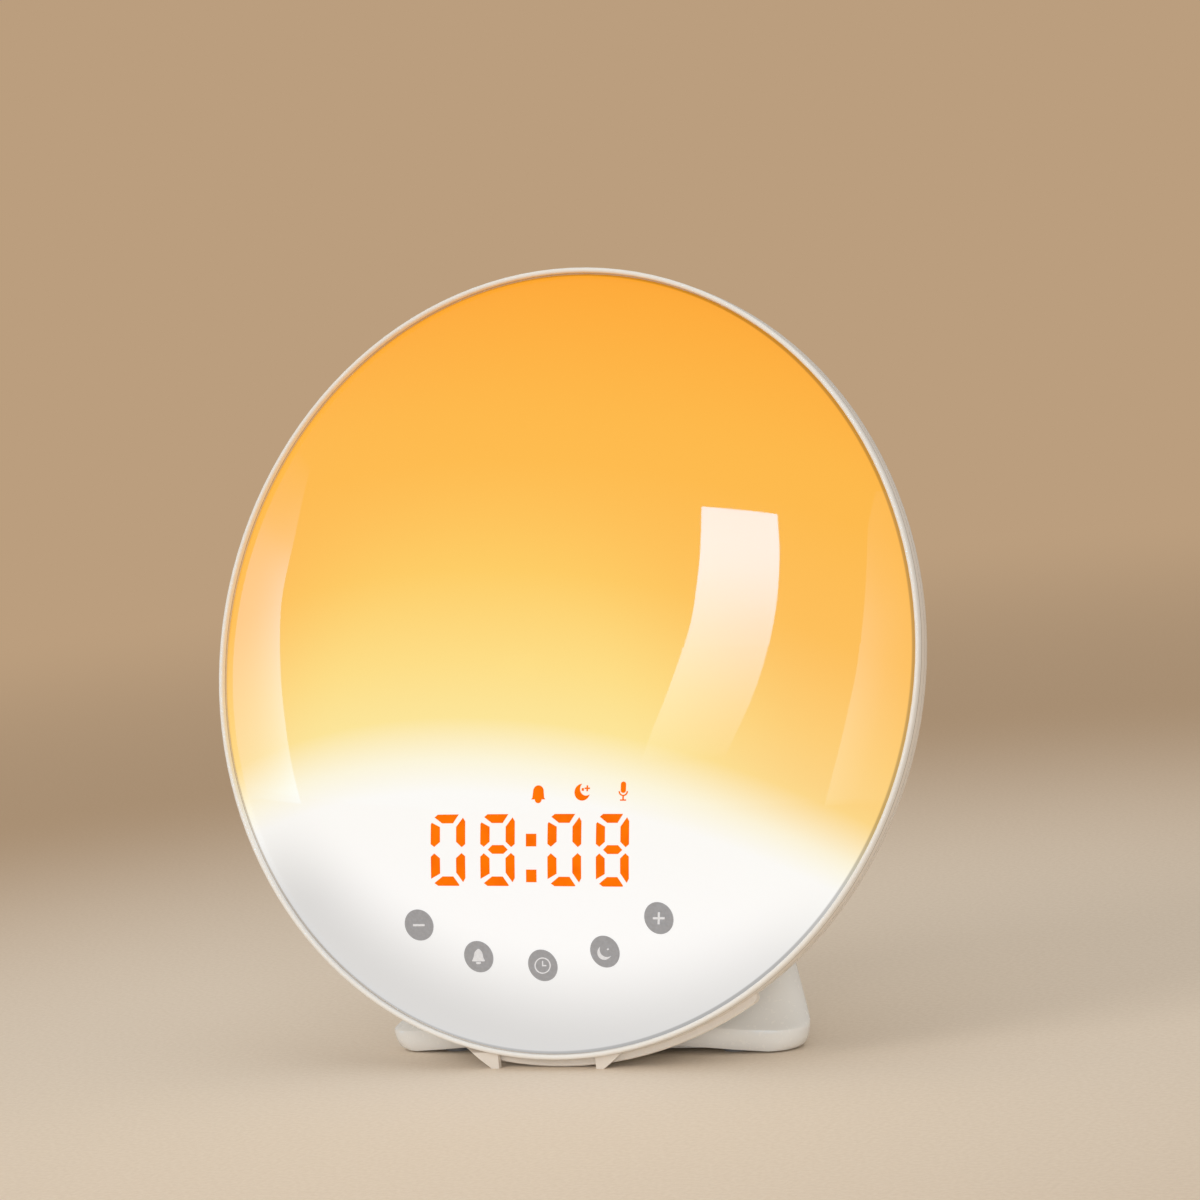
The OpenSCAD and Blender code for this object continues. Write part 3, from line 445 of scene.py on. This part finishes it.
key_ink = printed_ink("key_ink", srgb(161, 161, 164), through=0.4)
sign_ink = printed_ink("sign_ink", srgb(230, 230, 232), through=0.45)
dress(key_ink, "mark_minus", "mark_alarm", "mark_clock", "mark_sleep", "mark_plus")


def apply(piece, kind, **settings):
    only(piece)
    modifier = piece.modifiers.new(kind.lower(), kind)
    for key, value in settings.items():
        setattr(modifier, key, value)
    bpy.ops.object.modifier_apply(modifier=modifier.name)


def combine(piece, other, operation="UNION"):
    apply(piece, "BOOLEAN", object=other, operation=operation, solver="EXACT")
    bpy.data.objects.remove(other)
    return piece


def flat_bar(across, along, width, height):
    """A bar of ink with softened edges."""
    bpy.ops.mesh.primitive_cube_add(size=1, location=(across, along, 0),
                                    scale=(width, height, sign_depth))
    bpy.ops.object.transform_apply(location=True, scale=True)
    bpy.ops.object.mode_set(mode="EDIT")
    bpy.ops.mesh.bevel(offset=0.025, segments=2, affect="EDGES")
    bpy.ops.object.mode_set(mode="OBJECT")
    return bpy.context.object


def flat_disc(across, along, radius, sides=48):
    bpy.ops.mesh.primitive_cylinder_add(vertices=sides, radius=radius, depth=sign_depth,
                                        location=(across, along, 0))
    bpy.ops.object.transform_apply(location=True)
    return bpy.context.object


def flat_rows(rows):
    """A flat symmetrical shape from the height and the half width of each row, bottom row first."""
    bpy.ops.mesh.primitive_grid_add(x_subdivisions=1, y_subdivisions=len(rows) - 1, size=2)
    shape = bpy.context.object
    bpy.ops.object.mode_set(mode="EDIT")
    for i, (height, half_width) in enumerate(rows):
        bpy.ops.mesh.select_all(action="DESELECT")
        bpy.ops.object.mode_set(mode="OBJECT")
        for corner in (2 * i, 2 * i + 1):
            shape.data.vertices[corner].select = True
        drop = height - shape.data.vertices[2 * i].co.y
        bpy.ops.object.mode_set(mode="EDIT")
        bpy.ops.transform.translate(value=(0, drop, 0))
        bpy.ops.transform.resize(value=(half_width, 1, 1), center_override=(0, 0, 0))
    bpy.ops.object.mode_set(mode="OBJECT")
    apply(shape, "SOLIDIFY", thickness=sign_depth, offset=0)
    return shape


def place_on_dome(piece, across, up_face, name):
    """Sets a sign down on the dome. Like its key it widens to the left, and it leans."""
    out = math.sqrt(dome_radius ** 2 - across ** 2 - up_face ** 2)
    along_u = Vector((1, 0, -across / out))
    along_v = Vector((0, 1, -up_face / out))
    normal = Vector((across, up_face, out)) / dome_radius
    wide = (1.05 - 3.6 * across) * along_u - 0.012 * along_v
    high = 0.145 * along_u + 0.916 * along_v
    bent = Matrix([0.001 * column for column in (wide, high, normal)]).transposed().to_4x4()
    spot = Vector((across, up_face, out - dome_radius + dome_height)) + pad_thickness * normal
    on_face = Matrix.Translation((0, face_y, face_z)) @ face_turn
    only(piece)
    piece.data.transform(on_face @ Matrix.Translation(spot) @ bent)
    piece.name = name
    piece.data.materials.clear()
    piece.data.materials.append(sign_ink)
    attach(piece, "clock")


def minus_sign():
    return flat_bar(0, 0, 2.86, line_width)


def plus_sign():
    return combine(flat_bar(0, 0, 2.9, line_width), flat_bar(0, 0, line_width, 2.9))


def bell_sign():
    body = flat_rows([(-1.1, 1.42), (-1.0, 1.57), (-0.8, 1.5), (-0.5, 1.32), (0.0, 1.14),
                      (0.6, 1.04), (1.1, 0.9), (1.5, 0.62), (1.75, 0.36), (1.93, 0.16)])
    clapper = flat_rows([(-1.78, 0.24), (-1.68, 0.5), (-1.5, 0.62), (-1.34, 0.55), (-1.24, 0.45)])
    return combine(body, clapper)


def clock_sign():
    rim = combine(flat_disc(0, 0, 1.97), flat_disc(0, 0, 1.68), "DIFFERENCE")
    hands = combine(flat_bar(0, 0.5, 0.3, 1.3), flat_bar(0.38, -0.02, 1.05, 0.3))
    return combine(rim, hands)


def sleep_sign():
    moon = combine(flat_disc(-0.06, -0.17, 1.75, 64), flat_disc(0.54, 0.54, 1.78, 64),
                   "DIFFERENCE")
    star = flat_disc(0.75, 0.62, 0.3, sides=4)
    return combine(moon, star)


for sign, draw, across, up_face in (("minus", minus_sign, -0.0312, -0.0596),
                                    ("bell", bell_sign, -0.0159, -0.0669),
                                    ("clock", clock_sign, 0.0005, -0.0690),
                                    ("sleep", sleep_sign, 0.0163, -0.0661),
                                    ("plus", plus_sign, 0.0300, -0.0589)):
    place_on_dome(draw(), across, up_face, f"sign_{sign}")

# ---------------------------------------------------------------------------------------------
# Base plate, battery cap and feet. Grained plastic screwed into the stand from below, with a
# bayonet cap over the coin cell, and soft rubber feet glued into recesses in it.
# ---------------------------------------------------------------------------------------------
base_grained = matt_moulding("base_grained", (0.78, 0.765, 0.73), scale=1100, depth=0.00006)
foot_rubber = matt_moulding("foot_rubber", (0.24, 0.24, 0.25), roughness=0.85, scale=900, depth=0.00008)
dress(base_grained, "base_plate", "battery_cap")
dress(foot_rubber, "rubber_feet")

# ---------------------------------------------------------------------------------------------
# Power inlet, reset button and aerial gland in the back of the stand, in black plastic, and the
# sleeved leads that run from the inlet to the main board and on to the loudspeaker.
# ---------------------------------------------------------------------------------------------
connector_black = matt_moulding("connector_black", (0.02, 0.02, 0.022), roughness=0.45)
lead_red = matt_moulding("lead_red", (0.42, 0.02, 0.015), roughness=0.5)
lead_black = matt_moulding("lead_black", (0.02, 0.02, 0.02), roughness=0.5)
dress(connector_black, "dc_jack", "reset_button", "aerial_gland")
dress(lead_red, "power_lead")
dress(lead_black, "speaker_lead")

# ---------------------------------------------------------------------------------------------
# Camera. A long lens from the front right, a little above the face and slightly rolled.
# ---------------------------------------------------------------------------------------------
turn = math.radians(27.565)
rise = math.radians(5.132)
roll = math.radians(-5.949)
face_middle = Vector((0, face_y, face_z))
level_right = Vector((math.cos(turn), math.sin(turn), 0))
back = Vector((math.sin(turn) * math.cos(rise), -math.cos(turn) * math.cos(rise), math.sin(rise)))
level_up = back.cross(level_right)
right = math.cos(roll) * level_right + math.sin(roll) * level_up
up = -math.sin(roll) * level_right + math.cos(roll) * level_up
bpy.ops.object.camera_add()
camera = bpy.context.object
camera.data.lens = 120
camera.data.sensor_width = 36
camera.data.clip_start = 0.05
camera.data.clip_end = 50
camera.rotation_mode = "QUATERNION"
camera.rotation_quaternion = Matrix((right, up, back)).transposed().to_quaternion()
camera.location = face_middle + 0.00997 * right + 0.01375 * up + 0.9077 * back
bpy.context.scene.camera = camera

# ---------------------------------------------------------------------------------------------
# Floor and backdrop. A wide pale floor that runs softly into a plain warm haze behind and round
# it, which the world shows to the camera above the floor.
# ---------------------------------------------------------------------------------------------
wall_tan = srgb(187, 158, 126)


def surface(tree, socket):
    """Makes a socket the surface of a material, in place of its plain shader."""
    output = next(n for n in tree.nodes if n.type == "OUTPUT_MATERIAL")
    tree.links.new(socket, output.inputs["Surface"])


def swept_floor():
    material, tree, shader = new_material("pale_floor")
    away = node(tree, "VectorMath", {0: object_coordinates(tree)}, operation="LENGTH")
    away = away.outputs["Value"]
    near = two_tone(tree, grain(tree, 900, 3), srgb(230, 214, 194), srgb(236, 221, 202))
    far = two_tone(tree, grain(tree, 900, 3), srgb(190, 160, 126), srgb(194, 164, 130))
    sweep = smooth_range(tree, away, 0.12, 0.55)
    tree.links.new(blend(tree, sweep, near, far), shader.inputs["Base Color"])
    shader.inputs["Roughness"].default_value = 0.8
    haze = node(tree, "Emission", {"Color": (*wall_tan, 1)})
    fade = smooth_range(tree, away, 0.40, 1.3)
    both = node(tree, "MixShader", {0: fade, 1: shader.outputs[0], 2: haze.outputs[0]})
    surface(tree, both.outputs[0])
    return material


bpy.ops.mesh.primitive_circle_add(vertices=96, radius=6, fill_type="NGON")
floor = bpy.context.object
floor.name = "floor"
floor.data.materials.append(swept_floor())

world = bpy.data.worlds.new("studio")
bpy.context.scene.world = world
world.use_nodes = True
sky = world.node_tree
plain = sky.nodes["Background"]
plain.inputs["Color"].default_value = (0.84, 0.81, 0.765, 1)
plain.inputs["Strength"].default_value = 0.62
seen = node(sky, "Background", {"Color": (*wall_tan, 1), "Strength": 1.0})
path = sky.nodes.new("ShaderNodeLightPath")
both = node(sky, "MixShader", {
    0: path.outputs["Is Camera Ray"], 1: plain.outputs[0], 2: seen.outputs[0]})
sky.links.new(both.outputs[0], sky.nodes["World Output"].inputs["Surface"])

# ---------------------------------------------------------------------------------------------
# Lights. Three soft lamps for the matt light of the room, and glowing cloths for what the dome
# mirrors: the tall window, and a paler strip on either side.
# ---------------------------------------------------------------------------------------------
daylight = (1.0, 0.99, 0.975)
# the window and the right strip stand in a plane y, and the left strip in a plane x
front = -1.25
side = -1.3


def soft_light(name, place, width, height, radiance, colour):
    bpy.ops.object.light_add(type="AREA")
    lamp = bpy.context.object
    lamp.name = name
    lamp.data.shape = "RECTANGLE"
    lamp.data.size = width
    lamp.data.size_y = height
    lamp.data.energy = radiance * math.pi * width * height
    lamp.data.color = colour
    lamp.location = place
    lamp.rotation_mode = "QUATERNION"
    lamp.rotation_quaternion = (Vector(place) - face_middle).to_track_quat("Z", "Y")
    lamp.visible_glossy = False


soft_light("key_light", (-0.75, -1.1, 0.95), 0.9, 0.9, radiance=2.3, colour=daylight)
soft_light("fill_light", (0.75, -1.3, 0.28), 0.8, 0.8, radiance=3.1, colour=daylight)
soft_light("top_light", (0.25, 0.1, 1.5), 1.4, 1.2, radiance=0.6, colour=(1.0, 0.985, 0.96))


def between(a, b, c, d, t):
    """A smooth curve from b to c, past a and d."""
    square = (2 * a - 5 * b + 4 * c - d) * t ** 2
    cube = (3 * b - a - 3 * c + d) * t ** 3
    return 0.5 * (2 * b + (c - a) * t + square + cube)


def smooth_ends(rows, steps=8):
    """Points along the two ends of the rows in turn, with smooth steps put in between rows."""
    points = []
    last = len(rows) - 1
    for i in range(last):
        for step in range(steps + (i == last - 1)):
            for end in (0, 1):
                around = (max(i - 1, 0), i, i + 1, min(i + 2, last))
                points.append(between(*(Vector(rows[k][end]) for k in around), step / steps))
    return points


def brightness(tree, place, stops):
    """A curve through the stops, each a place from 0 to 1 and a value."""
    curve = node(tree, "FloatCurve", {"Value": place})
    line = curve.mapping.curves[0]
    for i, (spot, value) in enumerate(stops):
        if i < 2:
            line.points[i].location = (spot, value)
        else:
            line.points.new(spot, value)
    curve.mapping.update()
    return curve.outputs[0]


def panel(name, rows, colour, level, across, along):
    """A glowing cloth that only shows as a reflection. Each row is its two ends, from the top down;
    across and along are the stops of its brightness from the first end to the second, and down it."""
    points = smooth_ends(rows)
    count = len(points) // 2
    mesh = bpy.data.meshes.new(name)
    mesh.from_pydata(points, [], [(2 * i, 2 * i + 1, 2 * i + 3, 2 * i + 2) for i in range(count - 1)])
    chart = mesh.uv_layers.new(name="panel")
    for loop in mesh.loops:
        row, end = divmod(loop.vertex_index, 2)
        chart.data[loop.index].uv = (end, row / (count - 1))
    sheet = bpy.data.objects.new(name, mesh)
    bpy.context.scene.collection.objects.link(sheet)
    material, tree, shader = new_material(name)
    place = node(tree, "SeparateXYZ", {0: node(tree, "UVMap", uv_map="panel").outputs[0]})
    strength = times(tree, level, brightness(tree, place.outputs[0], across))
    strength = times(tree, strength, brightness(tree, place.outputs[1], along))
    glow = node(tree, "Emission", {"Color": (*colour, 1), "Strength": strength})
    clear = node(tree, "BsdfTransparent")
    surface(tree, node(tree, "AddShader", {0: glow.outputs[0], 1: clear.outputs[0]}).outputs[0])
    sheet.data.materials.append(material)
    sheet.visible_camera = False
    sheet.visible_diffuse = False
    sheet.visible_shadow = False
    sheet.visible_transmission = False


def rows_in_front(rows):
    """Rows from their height and the two ends in x, in the plane in front."""
    return [((a, front, z), (b, front, z)) for z, a, b in rows]


def rows_at_side(rows):
    """Rows from their height and the two ends in y, in the plane at the left."""
    return [((side, a, z), (side, b, z)) for z, a, b in rows]


# the window's top is seen slightly from the side, so that it slopes down to the right
window_slope = 0.032
window_rows = rows_in_front([
    (0.99, -0.109, 0.151), (0.82, -0.093, 0.164), (0.68, -0.093, 0.163), (0.56, -0.105, 0.149),
    (0.44, -0.140, 0.120), (0.34, -0.177, 0.083), (0.26, -0.213, 0.043), (0.18, -0.245, 0.000)])
top_left, top_right = window_rows[0]
window_rows[0] = (top_left, (*top_right[:2], top_right[2] - window_slope))
panel("window_panel", window_rows, colour=(0.20, 0.53, 0.96), level=16.8,
      across=[(0, 1), (1, 1)],
      along=[(0, 1), (1, 0), (0.14, 1), (0.29, 0.86), (0.43, 0.66), (0.57, 0.44), (0.71, 0.26),
             (0.86, 0.12)])
panel("left_panel",
      rows_at_side([(0.80, -0.340, 0.10), (0.64, -0.412, 0.02), (0.49, -0.448, -0.05),
                    (0.40, -0.485, -0.08), (0.31, -0.526, -0.10), (0.22, -0.568, -0.14),
                    (0.13, -0.607, -0.18), (0.03, -0.655, -0.24)]),
      colour=(0.12, 0.46, 0.95), level=5.4,
      across=[(0, 1), (1, 0), (0.3, 0.55), (0.6, 0.35)],
      along=[(0, 0), (1, 0), (0.15, 0.3), (0.3, 0.9), (0.55, 1.0), (0.8, 0.85)])
panel("right_panel",
      rows_in_front([(1.07, 0.468, 0.70), (0.85, 0.454, 0.68), (0.68, 0.439, 0.66),
                     (0.55, 0.421, 0.64), (0.42, 0.396, 0.61), (0.31, 0.366, 0.58),
                     (0.20, 0.332, 0.54), (0.03, 0.272, 0.47)]),
      colour=(0.2, 0.62, 0.92), level=3.2,
      across=[(0, 1), (1, 0), (0.3, 0.6), (0.6, 0.25)],
      along=[(0, 0.15), (1, 0), (0.2, 0.4), (0.5, 0.85), (0.8, 0.9)])

bpy.context.scene.view_settings.view_transform = "Standard"
